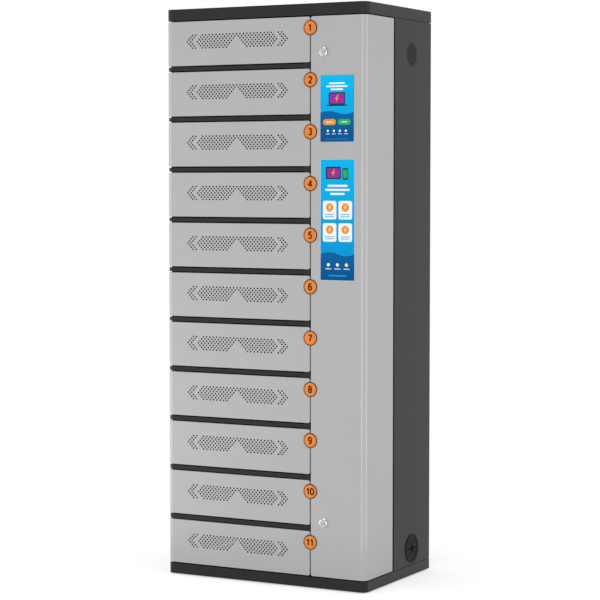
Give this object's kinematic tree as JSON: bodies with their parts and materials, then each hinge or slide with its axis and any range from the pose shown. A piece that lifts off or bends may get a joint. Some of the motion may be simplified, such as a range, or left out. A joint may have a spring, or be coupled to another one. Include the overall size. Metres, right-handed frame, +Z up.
{
  "type": "laptop charging cabinet",
  "caption": "Free-standing steel cabinet that charges laptops behind small side-hinged bay doors, with a tall corner door that carries a screen and covers the electronics.",
  "frame": {"origin": "on the floor under the middle of the case", "axes": "+Z up, +X to the right as seen from the front, the doors face -Y"},
  "size_m": [0.693, 0.457, 1.75],
  "materials": {
    "case_paint": "fine textured powder coat, dark grey",
    "door_paint": "fine textured powder coat, light grey",
    "foot_plastic": "moulded",
    "plated_steel": "zinc plated",
    "black_plastic": "moulded",
    "lamp_ring": "moulded, dark brown",
    "lamp_orange": "clear orange, lit from behind",
    "screen_glass": "polished",
    "label_print": "printed film",
    "chrome": "polished",
    "grommet_rubber": "moulded",
    "supply_case": "satin",
    "duct_plastic": "satin"
  },
  "bodies": {
    "case": {"base_plinth": "case_paint", "levelling_feet": "foot_plastic", "left_side_panel": "case_paint", "right_side_panel": "case_paint", "back_panel": "case_paint", "top_cap": "case_paint", "top_plate": "case_paint", "left_jamb": "case_paint", "corner_jamb": "case_paint", "centre_post": "case_paint", "centre_partition": "case_paint", "bay_shelves": "case_paint", "bay_rails": "case_paint", "rail_ends": "case_paint", "bay_hinge_rod": "plated_steel", "corner_hinge_pins": "plated_steel", "lamp_housings": "lamp_ring", "lamp_lenses": "lamp_orange", "latch_magnets": "plated_steel", "charge_ports": "black_plastic", "control_box": "supply_case", "power_supplies": "supply_case", "cable_trunking": "duct_plastic", "terminal_box": "supply_case", "fan_frame": "black_plastic", "vent_guard": "black_plastic", "cable_grommet": "grommet_rubber"},
    "bay_door_1_body": {"bay_door_1": "door_paint", "keeper_1": "plated_steel"},
    "bay_door_2_body": {"bay_door_2": "door_paint", "keeper_2": "plated_steel"},
    "bay_door_3_body": {"bay_door_3": "door_paint", "keeper_3": "plated_steel"},
    "bay_door_4_body": {"bay_door_4": "door_paint", "keeper_4": "plated_steel"},
    "bay_door_5_body": {"bay_door_5": "door_paint", "keeper_5": "plated_steel"},
    "bay_door_6_body": {"bay_door_6": "door_paint", "keeper_6": "plated_steel"},
    "bay_door_7_body": {"bay_door_7": "door_paint", "keeper_7": "plated_steel"},
    "bay_door_8_body": {"bay_door_8": "door_paint", "keeper_8": "plated_steel"},
    "bay_door_9_body": {"bay_door_9": "door_paint", "keeper_9": "plated_steel"},
    "bay_door_10_body": {"bay_door_10": "door_paint", "keeper_10": "plated_steel"},
    "bay_door_11_body": {"bay_door_11": "door_paint", "keeper_11": "plated_steel"},
    "corner_door_body": {"corner_door": "door_paint", "screen_housing": "black_plastic", "screen_glass": "screen_glass", "label_plate": "label_print", "lock_bodies": "chrome", "lock_nuts": "plated_steel"},
    "upper_lock_body": {"upper_lock_plug": "chrome", "upper_lock_cam": "plated_steel"},
    "lower_lock_body": {"lower_lock_plug": "chrome", "lower_lock_cam": "plated_steel"},
    "fan_body": {"fan_rotor": "black_plastic"}
  },
  "joints": [
    {"name": "bay_door_1_hinge", "type": "hinge", "parent": "case", "child": "bay_door_1_body", "pos_m": [-0.325, -0.205, 1.64409], "axis": [0, 0, 1], "range_deg": [-105, 0]},
    {"name": "bay_door_2_hinge", "type": "hinge", "parent": "case", "child": "bay_door_2_body", "pos_m": [-0.325, -0.205, 1.49027], "axis": [0, 0, 1], "range_deg": [-105, 0]},
    {"name": "bay_door_3_hinge", "type": "hinge", "parent": "case", "child": "bay_door_3_body", "pos_m": [-0.325, -0.205, 1.33645], "axis": [0, 0, 1], "range_deg": [-105, 0]},
    {"name": "bay_door_4_hinge", "type": "hinge", "parent": "case", "child": "bay_door_4_body", "pos_m": [-0.325, -0.205, 1.18264], "axis": [0, 0, 1], "range_deg": [-105, 0]},
    {"name": "bay_door_5_hinge", "type": "hinge", "parent": "case", "child": "bay_door_5_body", "pos_m": [-0.325, -0.205, 1.02882], "axis": [0, 0, 1], "range_deg": [-105, 0]},
    {"name": "bay_door_6_hinge", "type": "hinge", "parent": "case", "child": "bay_door_6_body", "pos_m": [-0.325, -0.205, 0.875], "axis": [0, 0, 1], "range_deg": [-105, 0]},
    {"name": "bay_door_7_hinge", "type": "hinge", "parent": "case", "child": "bay_door_7_body", "pos_m": [-0.325, -0.205, 0.72118], "axis": [0, 0, 1], "range_deg": [-105, 0]},
    {"name": "bay_door_8_hinge", "type": "hinge", "parent": "case", "child": "bay_door_8_body", "pos_m": [-0.325, -0.205, 0.56736], "axis": [0, 0, 1], "range_deg": [-105, 0]},
    {"name": "bay_door_9_hinge", "type": "hinge", "parent": "case", "child": "bay_door_9_body", "pos_m": [-0.325, -0.205, 0.41354], "axis": [0, 0, 1], "range_deg": [-105, 0]},
    {"name": "bay_door_10_hinge", "type": "hinge", "parent": "case", "child": "bay_door_10_body", "pos_m": [-0.325, -0.205, 0.25973], "axis": [0, 0, 1], "range_deg": [-105, 0]},
    {"name": "bay_door_11_hinge", "type": "hinge", "parent": "case", "child": "bay_door_11_body", "pos_m": [-0.325, -0.205, 0.10591], "axis": [0, 0, 1], "range_deg": [-105, 0]},
    {"name": "corner_door_hinge", "type": "hinge", "parent": "case", "child": "corner_door_body", "pos_m": [0.33, -0.056, 0.875], "axis": [0, 0, 1], "range_deg": [0, 100]},
    {"name": "upper_lock_turn", "type": "hinge", "parent": "corner_door_body", "child": "upper_lock_body", "pos_m": [0.204, -0.225, 1.605], "axis": [0, 1, 0], "range_deg": [0, 90]},
    {"name": "lower_lock_turn", "type": "hinge", "parent": "corner_door_body", "child": "lower_lock_body", "pos_m": [0.204, -0.225, 0.201], "axis": [0, 1, 0], "range_deg": [0, 90]},
    {"name": "fan_spin", "type": "hinge", "parent": "case", "child": "fan_body", "pos_m": [0.331, 0.085, 1.61], "axis": [1, 0, 0], "continuous": true}
  ]
}
